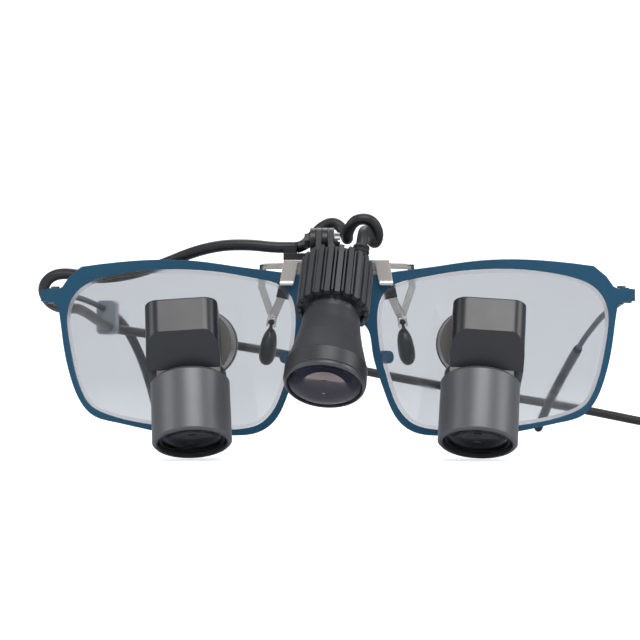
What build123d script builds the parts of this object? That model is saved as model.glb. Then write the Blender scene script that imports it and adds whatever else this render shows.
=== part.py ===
from build123d import *
import math
import os

# Dental loupes: blue sheet-metal spectacles, two prism telescopes, a headlight and its cable.
# Millimetres. +X to the right seen from in front, +Y back along the temples, +Z up from the table.
# "left" is -X. The loupes stand on the rear rims of both barrels and on both temple tips.

# ---------------------------------------------------------------- driving dimensions
MIDDLE = (-1.6, 48.0)        # middle of the standing object, which becomes the origin
WRAP_R = 400.0               # radius of the front's slight wrap round the face
SHEET = 1.2                  # thickness of the pressed front
LENS_T = 2.0                 # thickness of a carrier lens
LENS_SET_BACK = 0.25         # front of the carrier lens behind the front's face
BEVEL = 0.9                  # width of the step round the lens's front edge
FIT = 0.05                   # gap between pieces that sit in one another

EYE_X = 31.5                 # eyepiece axis, from the middle
EYE_Z = 25.8
EYE_BORE_R = 7.35            # hole in the carrier lens

BARREL_R = 8.75
BARREL_LEN = 15.0
BARREL_BELOW = 65.0          # angle of the barrel below the horizontal
BARREL_TOE = 4.2             # the barrels' feet lean towards each other
BARREL_FOOT = (-31.1, -28.0)  # middle of the left barrel's open end

HOUSING_W = 16.2
HOUSING_D = 18.0
HOUSING_H = 16.4
HOUSING_CORNER_R = 3.2
HOUSING_SHIFT = -1.0         # the housing sits a little outboard of the barrel
HOUSING_SPLIT = 2.0          # seam between the front and back shells
HOUSING_NECK = 4.0           # front of the neck under the slanted face
HOUSING_NECK_H = 1.2
NECK_R = 8.1                 # the neck is round behind its flat front
BORE_R = 3.4                 # light path through the neck
HOUSING_FACE_H = 8.3         # lower edge of the upper face

LAMP_FACE = (-2.2, -30.4, 16.3)
LAMP_AXIS = (-0.08, -0.56, -0.83)
LAMP_R = 9.1
SINK_R = 8.25
SINK_CORE_R = 6.1
SINK_LEN = 13.0
SINK_RIBS = 22
PIVOT = (-3.25, -5.0, 49.6)
FINGER_T = 1.3
FINGER_GAP = 0.1
FINGER_R = 3.0
PIVOT_PIN_R = 1.0

CABLE_D = 2.7
HINGE_X = 68.2
HINGE_Y = 12.2
HINGE_LOW = 35.8
HINGE_HIGH = 39.2
KNUCKLE_R = 1.3
HINGE_PIN_R = 0.5
ARM_R = 0.78
TIP_R = 1.35

COIL_CENTRE = (120.5, 126.0)
COIL_MID_R = 15.0
COIL_COLUMNS = 4
COIL_LAYERS = 2

PAD_CENTRE = (-16.4, 9.5, 25.2)
PAD_TALL = 9.0
PAD_DEEP = 5.8
PAD_THICK = 4.0
PAD_EDGE = 1.2
PAD_STUD = (5.9, 0, -0.2)
STRIP_W = 2.0
STRIP_T = 0.6
STUD_R = 0.7

SIDES = ("left", "right")
written = []


# ---------------------------------------------------------------- helpers
def save(name, shape):
    """Move the shape to the part's origin and write it."""
    shape = Pos(-MIDDLE[0], -MIDDLE[1], 0) * shape
    shape.label = name
    export_step(shape, f"parts/{name}.step")
    written.append(name)


def on_side(side, shape):
    """Shapes are drawn for the left, and mirrored for the right."""
    return shape if side == "left" else mirror(shape, about=Plane.YZ)


def group(shapes):
    return Compound(children=list(shapes))


def axis_plane(origin, direction):
    """Plane at origin with z along direction and x as near +X as it can be."""
    z = Vector(*direction).normalized()
    x = Vector(1, 0, 0) - z * z.X
    return Plane(origin=origin, x_dir=x, z_dir=z)


def rod(start, end, radius):
    path = Vector(*end) - Vector(*start)
    return extrude(Plane(origin=start, z_dir=path) * Circle(radius), path.length)


def bar(start, end, across, width, thick):
    """Flat strip from start to end, with its width along across."""
    path = Vector(*end) - Vector(*start)
    z = path.normalized()
    x = Vector(*across) - z * Vector(*across).dot(z)
    return extrude(Plane(origin=start, x_dir=x, z_dir=z) * Rectangle(width, thick), path.length)


def block(low, high):
    size = [b - a for a, b in zip(low, high)]
    middle = [(a + b) / 2 for a, b in zip(low, high)]
    return Pos(*middle) * Box(*size)


def turned(*profile):
    """Solid of revolution about Z from (radius, height) points."""
    face = make_face(Polyline(*profile, close=True))
    return revolve(Plane.XZ * face, Axis.Z)


def slab_yz(points, x_low, x_high):
    """Outline in (Y, Z) pushed from x_low to x_high."""
    face = make_face(Polyline(*points, close=True))
    return extrude(Plane.YZ.offset(x_low) * face, x_high - x_low)


def route_path(points):
    """Straight runs joined by tangent arcs, each as large as its runs allow."""
    spots = [Vector(*p) for p in points]
    radii = []
    for before, here, after in zip(spots, spots[1:], spots[2:]):
        turn = (here - before).get_angle(after - here)
        shorter = min((here - before).length, (after - here).length)
        radii.append(0.45 * shorter / math.tan(math.radians(turn) / 2))
    return FilletPolyline(*points, radius=radii), radii


def tube(points, radius, name=None):
    path, radii = route_path(points)
    start = Plane(origin=path @ 0, z_dir=path % 0)
    solid = sweep(start * Circle(radius), path=path)
    if name:
        expected = math.pi * radius**2 * path.length
        print(name, "length", round(path.length, 1), "volume / section x length",
              round(solid.volume / expected, 4))
        print("  radii", [round(r, 1) for r in radii])
    return solid


# ---------------------------------------------------------------- spectacle front
def wrap_shell(set_back, thick):
    """Upright curved sheet whose front lies set_back behind the front's face."""
    outer = WRAP_R - set_back
    ring = Cylinder(outer, 70) - Cylinder(outer - thick, 80)
    return Pos(0, WRAP_R, 30) * ring


def front_prism(face):
    return extrude(Plane.XZ.offset(12) * face, -32)


def lens_outline(inset=0.0):
    """Left lens opening, (X, Z) seen from in front, or an outline inset from it."""
    points = [
        (-35.0, 43.35), (-44.0, 43.3), (-52.1, 42.3), (-57.7, 40.9), (-61.4, 38.8),
        (-63.6, 35.6), (-64.3, 31.5), (-63.7, 26.3), (-62.6, 20.6), (-60.8, 14.9),
        (-58.6, 11.4), (-55.0, 9.4), (-48.5, 7.6), (-40.0, 6.4), (-31.0, 5.7),
        (-23.0, 5.8), (-18.0, 7.1), (-15.1, 9.8), (-12.6, 15.2), (-10.8, 21.5),
        (-9.8, 27.5), (-9.6, 32.5), (-10.6, 36.8), (-13.2, 39.5), (-18.5, 41.1),
        (-26.4, 42.55),
    ]
    middle = Vector(-36.4, 24.6)
    moved = []
    for point in points:
        inward = middle - Vector(*point)
        moved.append(Vector(*point) + inward.normalized() * inset)
    return Spline(*moved, periodic=True)


def half_outline():
    """Outer edge of the left half, from the bridge's top round to its underside."""
    top = Spline((0, 41.4), (-6.5, 41.7), (-13.0, 42.6), (-23.6, 44.0), (-31.0, 45.1),
                 (-40.0, 45.7), (-49.3, 45.4), (-60.7, 44.2))
    end_piece = Polyline((-60.7, 44.2), (-63.7, 41.8), (-65.4, 39.4), (-66.4, 38.9),
                         (-70.6, 38.8), (-70.6, 36.0), (-67.6, 35.9), (-66.4, 34.8))
    rim = Spline((-66.4, 34.8), (-65.8, 31.0), (-64.8, 24.0), (-63.2, 17.6), (-60.7, 11.9),
                 (-57.8, 8.9), (-52.5, 7.3), (-43.5, 5.4), (-33.0, 4.4), (-24.9, 4.3),
                 (-18.2, 5.1), (-15.1, 7.1), (-12.4, 11.4), (-10.7, 16.0), (-8.3, 24.6),
                 (-7.3, 29.2), (-4.9, 31.4), (0, 32.0))
    return top + end_piece + rim


def front_frame():
    half = make_face([*half_outline().edges(), Line((0, 32.0), (0, 41.4))])
    opening = make_face(lens_outline())
    sheet = front_prism(half - opening) & wrap_shell(0, SHEET)
    fold_y = WRAP_R - math.sqrt(WRAP_R**2 - 70.0**2)
    flange = block((-70.6, fold_y, 36.0), (-69.4, HINGE_Y - 1.7, 38.8))
    lug_face = Pos(-11.45, 22.7) * RectangleRounded(3.9, 3.0, 1.2)
    lug = extrude(Plane.XZ.offset(-2.6) * lug_face, -0.9)
    stay = block((-10.5, 0.3, 21.2), (-9.5, 3.5, 22.4))
    left = sheet + flange + lug + stay
    return left + mirror(left, about=Plane.YZ)


def carrier_lens():
    """Lens blank with a bevelled front edge, bored for the eyepiece."""
    blank = front_prism(make_face(lens_outline(FIT)))
    inner = front_prism(make_face(lens_outline(FIT + BEVEL)))
    lens = blank & wrap_shell(LENS_SET_BACK + BEVEL / 2, LENS_T - BEVEL / 2)
    lens += inner & wrap_shell(LENS_SET_BACK, BEVEL)
    lens -= rod((-EYE_X, -6, EYE_Z), (-EYE_X, 9, EYE_Z), EYE_BORE_R)
    return largest(lens)


def hinge_leaf():
    """Block inside the end piece with an upper and a lower knuckle."""
    base = block((-69.35, 7.6, HINGE_LOW), (-67.4, 10.4, HINGE_HIGH))
    third = (HINGE_HIGH - HINGE_LOW) / 3
    pieces = base
    for low in (HINGE_LOW, HINGE_HIGH - third):
        knuckle = Pos(-HINGE_X, HINGE_Y, low + third / 2) * Cylinder(KNUCKLE_R, third - 0.04)
        web = block((-69.2, 10.2, low + 0.02), (-67.4, HINGE_Y, low + third - 0.02))
        pieces += knuckle + web
    return pieces - Pos(-HINGE_X, HINGE_Y, 39) * Cylinder(HINGE_PIN_R + 0.03, 12)


def hinge_screw():
    shank = Pos(-HINGE_X, HINGE_Y, 37.4) * Cylinder(HINGE_PIN_R, 4.2)
    head = Pos(-HINGE_X, HINGE_Y, HINGE_HIGH + 0.33) * Cylinder(1.05, 0.5)
    slot = Pos(-HINGE_X, HINGE_Y, HINGE_HIGH + 0.55) * Box(2.4, 0.3, 0.3)
    return shank + head - slot


# ---------------------------------------------------------------- temples
TEMPLE_ROUTE = {
    "left": [(-70.2, 15.0, 37.9), (-69.9, 38.0, 38.6), (-69.5, 62.0, 38.6), (-68.2, 92.0, 37.0),
             (-64.9, 110.0, 33.4), (-60.9, 120.5, 23.6), (-57.6, 125.4, 11.5),
             (-55.6, 128.0, 1.35)],
    "right": [(-70.2, 15.0, 37.2), (-69.9, 36.0, 35.6), (-69.4, 58.0, 33.6), (-68.2, 86.0, 28.0),
              (-66.8, 106.0, 21.6), (-65.0, 119.0, 15.6), (-62.3, 127.4, 8.4),
              (-60.0, 131.6, 1.35)],
}
TIP_FROM = 3


def temple_arm(side):
    """Thin arm with its hinge leaf; its end runs inside the tip sleeve."""
    route = TEMPLE_ROUTE[side]
    arm = tube(route[:TIP_FROM + 3], ARM_R)
    x, y, z = route[0]
    leaf = block((x - 0.75, HINGE_Y + 1.6, HINGE_LOW), (x + 0.75, y + 3.0, HINGE_HIGH))
    third = (HINGE_HIGH - HINGE_LOW) / 3
    middle = HINGE_LOW + 1.5 * third
    knuckle = Pos(-HINGE_X, HINGE_Y, middle) * Cylinder(KNUCKLE_R, third - 0.08)
    web = block((x - 0.2, HINGE_Y - 0.2, middle - third / 2 + 0.04),
                (-HINGE_X + 0.6, HINGE_Y + 2.6, middle + third / 2 - 0.04))
    hole = Pos(-HINGE_X, HINGE_Y, middle) * Cylinder(HINGE_PIN_R + FIT, 12)
    return arm + leaf + knuckle + web - hole


def temple_tip(side):
    route = TEMPLE_ROUTE[side]
    start = Vector(*route[TIP_FROM]) * 0.6 + Vector(*route[TIP_FROM + 1]) * 0.4
    points = [tuple(start), *route[TIP_FROM + 1:]]
    sleeve = tube(points, TIP_R)
    end = Pos(*route[-1]) * Sphere(TIP_R)
    core = tube(route[:TIP_FROM + 3], ARM_R + 0.02)
    return sleeve + end - core


# ---------------------------------------------------------------- telescopes
def barrel_up():
    """Unit vector from the left barrel's open end up to the housing."""
    below = math.radians(BARREL_BELOW)
    toe = math.radians(BARREL_TOE)
    return Vector(-math.sin(toe), math.cos(below) * math.cos(toe), math.sin(below) * math.cos(toe))


def barrel_plane():
    """Middle of the left barrel's upper end; z up the barrel, -y its front."""
    up = barrel_up()
    foot_z = BARREL_R * math.sqrt(1 - up.Z**2)
    foot = Vector(*BARREL_FOOT, foot_z)
    return axis_plane(foot + up * BARREL_LEN, up)


def in_barrel(shape):
    return barrel_plane().location * shape


def housing_body():
    prism = Pos(HOUSING_SHIFT, 0, HOUSING_NECK_H) * extrude(
        RectangleRounded(HOUSING_W, HOUSING_D, HOUSING_CORNER_R), HOUSING_H - HOUSING_NECK_H)
    prism += Pos(0, 0, HOUSING_NECK_H / 2 + 0.1) * Cylinder(NECK_R, HOUSING_NECK_H + 0.2)
    front = -HOUSING_D / 2
    slope = (HOUSING_FACE_H - HOUSING_NECK_H) / (HOUSING_D / 2 - HOUSING_NECK)
    cutter = slab_yz([(front - 3, -1), (-HOUSING_NECK, -1), (-HOUSING_NECK, HOUSING_NECK_H),
                      (front, HOUSING_FACE_H), (front - 3, HOUSING_FACE_H + 3 * slope)], -12, 12)
    prism -= cutter
    prism = fillet(prism.edges().group_by(Axis.Z)[-1], 0.45)
    boss = rod((-EYE_X, -14, EYE_Z), (-EYE_X, 0.4, EYE_Z), 7.9)
    body = in_barrel(prism) + boss
    body -= in_barrel(Pos(0, 0, 3) * Cylinder(BORE_R, 8))
    body -= in_barrel(Pos(0, 0, 10.4) * Box(12.2, 11, 8.2))
    body -= rod((-EYE_X, -12.5, EYE_Z), (-EYE_X, 2, EYE_Z), 5.6)
    body -= rod((-EYE_X, -5.5, EYE_Z), (-EYE_X, 2, EYE_Z), 6.65)
    return body


def housing_screw_spots():
    return [(-7.7, 4.2), (-7.7, 12.4)]


def housing_screws():
    screws = []
    for x, z in housing_screw_spots():
        shank = Pos(x, 2.6, z) * Rot(90, 0, 0) * Cylinder(0.6, 8.6)
        head = Pos(x, 7.4, z) * Rot(90, 0, 0) * Cylinder(0.75, 1.0)
        screws.append(in_barrel(shank + head))
    return screws


def housing_shells():
    body = housing_body()
    for x, z in housing_screw_spots():
        body -= in_barrel(Pos(x, 2.6, z) * Rot(90, 0, 0) * Cylinder(0.6 + FIT, 8.7))
        body -= in_barrel(Pos(x, 9.1, z) * Rot(90, 0, 0) * Cylinder(0.75 + FIT, 4.4))
    front_half = in_barrel(Pos(0, HOUSING_SPLIT - 20, 10) * Box(60, 40, 60))
    boss_side = rod((-EYE_X, -16, EYE_Z), (-EYE_X, 2, EYE_Z), 7.95)
    front = body & (front_half - boss_side)
    back = body - (front_half - boss_side)
    return largest(front), largest(back)


def largest(shape):
    return max(shape.solids(), key=lambda s: s.volume)


def deflection_prism():
    wedge = slab_yz([(-5.3, 6.6), (4.6, 6.6), (4.6, 14.2), (2.4, 14.2), (-5.3, 9.4)], -5.9, 5.9)
    return in_barrel(wedge)


def objective_barrel():
    profile = [(BORE_R, 0), (8.0, 0), (BARREL_R, -0.75), (BARREL_R, -14.6), (8.35, -BARREL_LEN),
               (7.7, -BARREL_LEN), (7.7, -13.3), (7.2, -13.3), (7.2, -9.0), (5.95, -9.0),
               (5.95, -1.6), (BORE_R, -1.6)]
    return in_barrel(turned(*profile))


def objective_cell():
    profile = [(5.6, -9.1), (7.15, -9.1), (7.15, -13.35), (7.55, -13.35), (7.55, -14.0),
               (7.1, -14.3), (6.75, -14.3), (6.55, -14.1), (6.55, -12.4), (5.6, -12.4)]
    return in_barrel(turned(*profile))


def domed_lens(radius, edge, dome):
    """Flat face at z = 0, straight edge up to z = edge, dome above it."""
    ball = (radius**2 + dome**2) / (2 * dome)
    cap = Pos(0, 0, edge + dome - ball) * Sphere(ball)
    return Pos(0, 0, (edge + dome) / 2) * Cylinder(radius, edge + dome) & cap


def objective_lens():
    return in_barrel(Pos(0, 0, -12.5) * Rot(180, 0, 0) * domed_lens(6.5, 1.3, 0.95))


def eyepiece_tube():
    """Threaded into the housing's boss, through the carrier lens, with a flange behind it."""
    profile = [(5.2, -5.4), (6.6, -5.4), (6.6, 0.45), (7.3, 0.45), (7.3, 4.35), (8.1, 4.35),
               (8.1, 6.2), (7.2, 8.0), (6.2, 8.0), (6.2, 5.4), (5.2, 5.4)]
    place = Plane(origin=(-EYE_X, 0, EYE_Z), x_dir=(1, 0, 0), z_dir=(0, 1, 0))
    return place.location * turned(*profile)


def ocular_lens():
    place = Plane(origin=(-EYE_X, 5.45, EYE_Z), x_dir=(1, 0, 0), z_dir=(0, 1, 0))
    return place.location * domed_lens(6.15, 1.3, 0.8)


# ---------------------------------------------------------------- bridge, arms and pads
def bridge_saddle():
    """Springy sheet clip over the bridge: two front legs, a roof and a back plate."""
    leg_face = make_face(Polyline((-12.3, 45.4), (-13.3, 39.8), (-10.0, 39.8), (-8.9, 45.4),
                                  close=True))
    leg = extrude(Plane.XZ.offset(1.1) * leg_face, -0.6)
    hem = rod((-13.2, -0.95, 39.9), (-10.1, -0.95, 39.9), 0.5)
    roof = block((-12.3, -1.1, 44.8), (0.01, 4.6, 45.4))
    back = block((-12.3, 4.0, 39.8), (0.01, 4.6, 45.4))
    left = leg + hem + roof + back
    return left + mirror(left, about=Plane.YZ)


def arm_block():
    body = bar((-12.1, 5.9, 40.3), (-12.9, 5.9, 36.6), (1, 0, 0), 2.9, 2.4)
    body -= arm_strip(STRIP_W + FIT, STRIP_T + FIT)
    return body - rod((-12.4, 3, 38.9), (-12.4, 9, 38.9), 0.65)


def arm_screw():
    shank = rod((-12.4, 5.2, 38.9), (-12.4, 7.3, 38.9), 0.6)
    head = rod((-12.4, 7.15, 38.9), (-12.4, 7.7, 38.9), 1.0)
    return shank + head - block((-13.5, 7.45, 38.75), (-11.3, 7.8, 39.05))


def pad_plane():
    """Middle of the left pad: x up along it, z towards the nose."""
    return Plane(origin=PAD_CENTRE, x_dir=(0.17, -0.05, 0.985), z_dir=(0.985, 0, -0.17))



def pad_socket():
    """The socket's middle, over the pad's upper end; x up along the pad."""
    return pad_plane().location * Pos(*PAD_STUD)


def arm_strip(width, thick):
    """Front strip, from inside the arm block to the socket."""
    low = (pad_socket() * Pos(1.0, 0, 0)).position
    return bar((-12.95, 6.1, 37.2), tuple(low), (1, 0, 0), width, thick)


def nose_arm():
    """V of two flat strips that meet at the pad's socket."""
    socket_at = pad_socket()
    low = tuple((socket_at * Pos(1.0, 0, 0)).position)
    knee_top = (-17.6, 5.4, 44.2)
    knee_low = (-17.9, 7.2, 39.0)
    roof = bar((-11.8, 5.0, 44.3), knee_top, (0, 0, 1), 1.4, STRIP_T)
    drop = bar((-17.5, 5.2, 44.8), knee_low, (1, 0, 0), 1.6, STRIP_T)
    run = bar((-17.88, 7.0, 39.5), low, (1, 0, 0), 1.6, STRIP_T)
    arm = arm_strip(STRIP_W, STRIP_T) + roof + drop + run + socket_at * Box(2.2, 2.8, 2.2)
    arm -= socket_at * Rot(90, 0, 0) * Cylinder(STUD_R + FIT, 6)
    return largest(arm - socket_at * Pos(-1.5, 0, 0) * Box(3, 6, 1.3))


def nose_pad():
    pad = extrude(SlotOverall(PAD_TALL, PAD_DEEP), PAD_THICK)
    pad = chamfer(pad.faces().sort_by(Axis.Z)[-1].edges(), PAD_EDGE)
    neck = Pos(PAD_TALL / 2 + 0.5, 0, PAD_STUD[2]) * Box(2.4, STRIP_W, 0.7)
    stud = Pos(*PAD_STUD) * Rot(90, 0, 0) * Cylinder(STUD_R, 2.4)
    return pad_plane().location * (Pos(0, 0, -PAD_THICK / 2) * pad + neck + stud)


# ---------------------------------------------------------------- headlight
def lamp_plane():
    """Middle of the lamp's front lens; z up the lamp."""
    up = Vector(*LAMP_AXIS) * -1
    return axis_plane(LAMP_FACE, up)


def in_lamp(shape):
    return lamp_plane().location * shape


def lamp_bezel():
    return in_lamp(turned((8.3, 0.0), (8.65, 0.0), (8.9, 0.35), (8.9, 1.0), (8.3, 1.0)))


def lamp_band():
    return in_lamp(turned((7.3, 1.05), (8.95, 1.05), (LAMP_R, 1.2), (LAMP_R, 4.7), (8.95, 4.85),
                          (7.3, 4.85)))


def lamp_cone():
    return in_lamp(turned((7.2, 4.9), (8.95, 4.9), (7.45, 10.8), (6.75, 14.4), (6.4, 17.6),
                          (4.9, 17.6), (4.9, 12.0)))


def lamp_collar():
    return in_lamp(turned((4.9, 17.65), (6.1, 17.65), (6.1, 19.2), (5.6, 19.2), (5.6, 19.7),
                          (4.9, 19.7)))


def lamp_lens():
    return in_lamp(Pos(0, 0, 1.0) * Rot(180, 0, 0) * domed_lens(8.25, 0.6, 2.2))


def heat_sink():
    """Core with full-length ribs, and thinner, shorter ribs between them."""
    step = 360 / SINK_RIBS
    wide = Circle(SINK_CORE_R)
    narrow = Circle(SINK_CORE_R)
    reach = SINK_R - SINK_CORE_R + 1
    for turn in range(SINK_RIBS):
        rib = Pos(SINK_CORE_R - 1 + reach / 2, 0) * Rectangle(reach, 1.15)
        fin = Pos(SINK_CORE_R - 1 + reach / 2 - 0.15, 0) * Rectangle(reach - 0.3, 0.42)
        wide += Rot(0, 0, turn * step) * rib
        narrow += Rot(0, 0, (turn + 0.5) * step) * fin
    sink = extrude(wide, SINK_LEN) + Pos(0, 0, 0.6) * extrude(narrow, SINK_LEN - 1.2)
    sink -= Pos(0, 0, 1.6) * Cylinder(4.6, 3.4)
    sink -= Pos(0, 0, 0.5) * (Cylinder(7.1, 1.6) - Cylinder(5.3, 1.7))
    return in_lamp(Pos(0, 0, 19.75) * sink)


def led_board():
    return in_lamp(Pos(0, 0, 22.3) * Cylinder(4.4, 1.2))


def led_emitter():
    dome = Pos(0, 0, 21.2) * Sphere(1.3) & Pos(0, 0, 20.4) * Box(4, 4, 1.6)
    return in_lamp(Pos(0, 0, 21.42) * Box(3.4, 3.4, 0.5) + dome)


def hinge_cap():
    """Cap on the heat sink with two ears round the pivot pin."""
    cap = in_lamp(Pos(0, 0, 33.4) * Cylinder(5.6, 1.2))
    above = in_lamp(Pos(0, 0, 32.8 + 20) * Box(60, 60, 40))
    _, y, z = PIVOT
    root_y, root_z = -11.0, 44.4
    for number in (1, 3):
        low = PIVOT[0] + (number - 2) * (FINGER_T + FINGER_GAP) + FINGER_GAP / 2
        cap += finger((y, z), (root_y, root_z), low) & above
    cap -= rod((-9, y, z), (3, y, z), PIVOT_PIN_R + FIT)
    return cap


def finger(top, root, x_low):
    """Rounded flat finger from top to root in the YZ plane."""
    run = Vector(root[0] - top[0], root[1] - top[1])
    turn = math.degrees(math.atan2(run.Y, run.X))
    middle = ((top[0] + root[0]) / 2, (top[1] + root[1]) / 2)
    slot = Pos(*middle) * Rot(0, 0, turn) * SlotCenterToCenter(run.length, 2 * FINGER_R)
    return extrude(Plane.YZ.offset(x_low) * slot, FINGER_T)


def lamp_bracket():
    """Bar on the saddle with two hinge fingers and the cable's holder."""
    base = block((-12.4, -1.0, 45.45), (4.0, 4.4, 47.0))
    _, y, z = PIVOT
    above = block((-20, -20, 45.45), (20, 20, 70))
    for number in (0, 2):
        low = PIVOT[0] + (number - 2) * (FINGER_T + FINGER_GAP) + FINGER_GAP / 2
        base += finger((y, z), (0.4, 47.2), low) & above
    base += block((-12.4, 0.8, 46.9), (-9.4, 5.2, 48.95))
    base -= rod((-4.4, 3.0, 48.7), (-14.4, 3.0, 48.5), CABLE_D / 2 + 0.03)
    return base - rod((-9, y, z), (3, y, z), PIVOT_PIN_R + 0.02)


def pivot_screw():
    _, y, z = PIVOT
    screw = rod((-7.4, y, z), (0.2, y, z), PIVOT_PIN_R) + rod((-0.4, y, z), (0.9, y, z), 1.9)
    return screw - block((0.4, y - 2, z - 0.25), (1.0, y + 2, z + 0.25))


def pivot_nut():
    _, y, z = PIVOT
    nut = extrude(Plane.YZ.offset(-7.3) * (Pos(y, z) * RegularPolygon(1.9, 6)), 1.15)
    return nut - rod((-9, y, z), (3, y, z), PIVOT_PIN_R + 0.01)


def strain_relief():
    """Sleeve on the cap, in line with the lead's first run."""
    top = Vector(*LAMP_LEAD[0])
    run = (Vector(*LAMP_LEAD[1]) - top).normalized()
    sleeve = rod(tuple(top - run * 5), tuple(top), 1.9)
    return sleeve & in_lamp(Pos(0, 0, 34.02 + 20) * Box(60, 60, 40))


# ---------------------------------------------------------------- cable
LAMP_LEAD = [
    (5.8, -9.6, 47.4), (6.1, -8.6, 50.0), (6.6, -5.4, 52.2), (7.6, -1.4, 51.2), (9.0, 0.8, 48.9),
    (10.0, -0.6, 51.6), (8.2, -2.0, 54.8), (4.6, -2.2, 54.9), (2.6, -0.6, 52.2), (2.6, 2.0, 49.9),
    (1.8, 4.6, 52.6), (-0.6, 5.8, 54.9), (-3.6, 6.0, 53.7), (-6.2, 5.2, 50.8), (-7.9, 3.3, 48.9),
    (-9.4, 3.0, 48.6),
]
TEMPLE_LEAD = [
    (-9.4, 3.0, 48.6), (-14.4, 3.0, 48.5), (-20.4, 3.4, 49.3), (-27.6, 4.0, 49.2),
    (-34.4, 5.0, 47.6), (-42.0, 7.0, 44.6), (-50.5, 9.4, 42.2), (-59.0, 11.2, 41.6),
    (-65.0, 14.6, 43.2), (-70.2, 17.6, 42.8), (-73.2, 21.2, 39.6), (-72.0, 26.0, 35.9),
    (-69.2, 33.0, 34.9), (-68.4, 46.0, 35.6), (-68.0, 60.0, 34.8), (-67.3, 75.0, 33.0),
    (-66.5, 88.0, 31.6), (-66.2, 97.6, 31.2),
]
FREE_CORD = [
    (-66.2, 97.6, 31.2), (-66.05, 101.4, 31.05), (-63.2, 106.0, 30.6), (-56.0, 110.4, 29.6),
    (-44.0, 115.6, 27.9), (-29.0, 120.4, 26.0), (-10.0, 126.2, 22.3), (8.0, 131.4, 18.3),
    (27.0, 136.0, 14.6), (47.0, 139.6, 11.2), (66.0, 143.0, 8.2), (83.0, 145.2, 4.9),
    (96.0, 145.8, 2.2), (106.0, 145.6, 1.4), (115.5, 145.2, 1.36),
]
PLUG_LEAD = [
    (139.8, 126.0, 4.1), (139.8, 119.0, 4.0), (139.1, 111.5, 3.8), (137.3, 104.0, 3.5),
    (135.4, 96.6, 3.4),
]


def coil_radius(outward):
    half_width = COIL_COLUMNS * CABLE_D / 2
    return COIL_MID_R + outward * half_width


def cord_coil():
    height = COIL_LAYERS * CABLE_D
    ring = Cylinder(coil_radius(1), height) - Cylinder(coil_radius(-1), height + 1)
    return Pos(*COIL_CENTRE, height / 2) * ring


def coil_tie():
    """Flat strap round the coil's section."""
    height = COIL_LAYERS * CABLE_D
    width = COIL_COLUMNS * CABLE_D
    outer = Box(width + 1.6, 5.0, height + 0.7)
    inner = Box(width + 0.06, 6.0, height + 0.02)
    strap = Pos(-COIL_MID_R, 0, height / 2 + 0.34) * outer - Pos(-COIL_MID_R, 0, height / 2) * inner
    ring = Cylinder(coil_radius(1) + 0.03, 40) - Cylinder(coil_radius(-1) - 0.03, 50)
    strap -= Pos(0, 0, height / 2) * (ring & Box(100, 100, height + 0.02))
    strap &= Pos(0, 0, 25) * Box(100, 100, 50)
    return Pos(*COIL_CENTRE, 0) * strap


def plug_end():
    """Axis of the plug, on from the end of its lead."""
    back = Vector(*PLUG_LEAD[-2])
    end = Vector(*PLUG_LEAD[-1])
    flat = Vector(end.X - back.X, end.Y - back.Y, 0)
    return Plane(origin=PLUG_LEAD[-1], z_dir=flat)


def plug_body():
    return plug_end().location * turned((0, 0), (1.9, 0), (2.4, 4.0), (3.3, 8.0), (3.35, 20.0),
                                        (2.9, 20.8), (0, 20.8))


def plug_sleeve():
    return plug_end().location * turned((1.1, 20.85), (2.75, 20.85), (2.75, 29.6), (2.5, 30.0),
                                        (1.1, 30.0))


def cable_clip():
    """Block that snaps on the left temple and holds the lead under it."""
    outline = Pos(-67.15, 34.2) * RectangleRounded(5.5, 9.6, 1.3)
    body = extrude(Plane.XZ.offset(-91.0) * outline, -6.55)
    body -= tube(TEMPLE_ROUTE["left"], ARM_R + 0.02)
    return largest(body - tube(TEMPLE_LEAD, CABLE_D / 2 + 0.02))


# ---------------------------------------------------------------- write every piece
def build_sides():
    telescope = {
        "objective_barrel": objective_barrel(),
        "objective_cell": objective_cell(),
        "objective_lens": objective_lens(),
        "eyepiece_tube": eyepiece_tube(),
        "ocular_lens": ocular_lens(),
        "deflection_prism": deflection_prism(),
        "carrier_lens": carrier_lens(),
        "nose_arm": nose_arm(),
        "nose_pad": nose_pad(),
        "hinge_leaf": hinge_leaf(),
        "hinge_screw": hinge_screw(),
    }
    telescope["prism_housing"], telescope["housing_back"] = housing_shells()
    for side in SIDES:
        for piece, shape in telescope.items():
            save(f"{side}_{piece}", on_side(side, shape))
        save(f"{side}_temple_arm", on_side(side, temple_arm(side)))
        save(f"{side}_temple_tip", on_side(side, temple_tip(side)))
    screws = housing_screws()
    save("housing_screws", group([on_side(side, s) for side in SIDES for s in screws]))
    save("nose_arm_blocks", group([on_side(side, arm_block()) for side in SIDES]))
    save("nose_arm_screws", group([on_side(side, arm_screw()) for side in SIDES]))


def build_middle():
    pieces = {
        "front_frame": front_frame(), "bridge_saddle": bridge_saddle(),
        "lamp_bracket": lamp_bracket(), "pivot_screw": pivot_screw(), "pivot_nut": pivot_nut(),
        "hinge_cap": hinge_cap(), "heat_sink": heat_sink(), "led_board": led_board(),
        "led_emitter": led_emitter(), "lamp_collar": lamp_collar(), "lamp_cone": lamp_cone(),
        "lamp_band": lamp_band(), "lamp_bezel": lamp_bezel(), "lamp_lens": lamp_lens(),
        "strain_relief": strain_relief(),
    }
    for piece, shape in pieces.items():
        save(piece, shape)


def build_cable():
    save("lamp_lead", tube(LAMP_LEAD, CABLE_D / 2, "lamp lead"))
    save("temple_lead", tube(TEMPLE_LEAD, CABLE_D / 2, "temple lead"))
    save("free_cord", tube(FREE_CORD, CABLE_D / 2, "free cord"))
    save("plug_lead", tube(PLUG_LEAD, CABLE_D / 2, "plug lead"))
    save("cord_coil", cord_coil())
    save("coil_tie", coil_tie())
    save("plug_body", plug_body())
    save("plug_sleeve", plug_sleeve())
    save("temple_cable_clip", cable_clip())


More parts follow.
